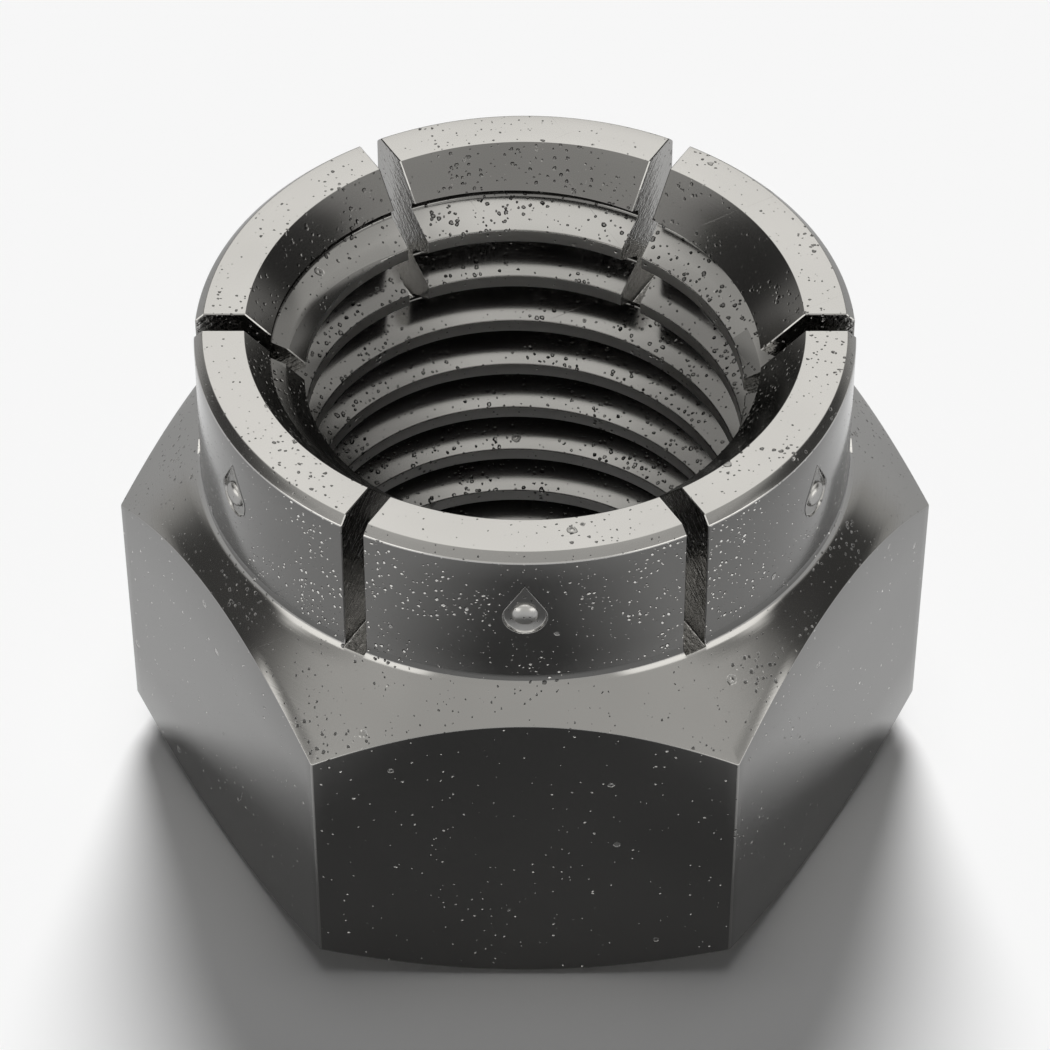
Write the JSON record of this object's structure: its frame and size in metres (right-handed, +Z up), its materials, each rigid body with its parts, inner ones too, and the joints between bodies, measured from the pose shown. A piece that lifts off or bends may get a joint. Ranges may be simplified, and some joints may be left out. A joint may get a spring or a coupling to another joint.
{
  "type": "flex lock nut",
  "caption": "One-piece hexagon lock nut with a slotted round collar whose fingers grip the bolt thread.",
  "frame": {"origin": "centre of the bearing face, on the thread's axis", "axes": "+Z up the thread from the bearing face to the fingers, +X through a corner of the hexagon and a saw cut, +Y through a flat"},
  "size_m": [0.0422, 0.0366, 0.029],
  "materials": {
    "steel": "glossy machined steel with fine pits"
  },
  "bodies": {
    "root": {"lock_nut": "steel"}
  },
  "joints": []
}
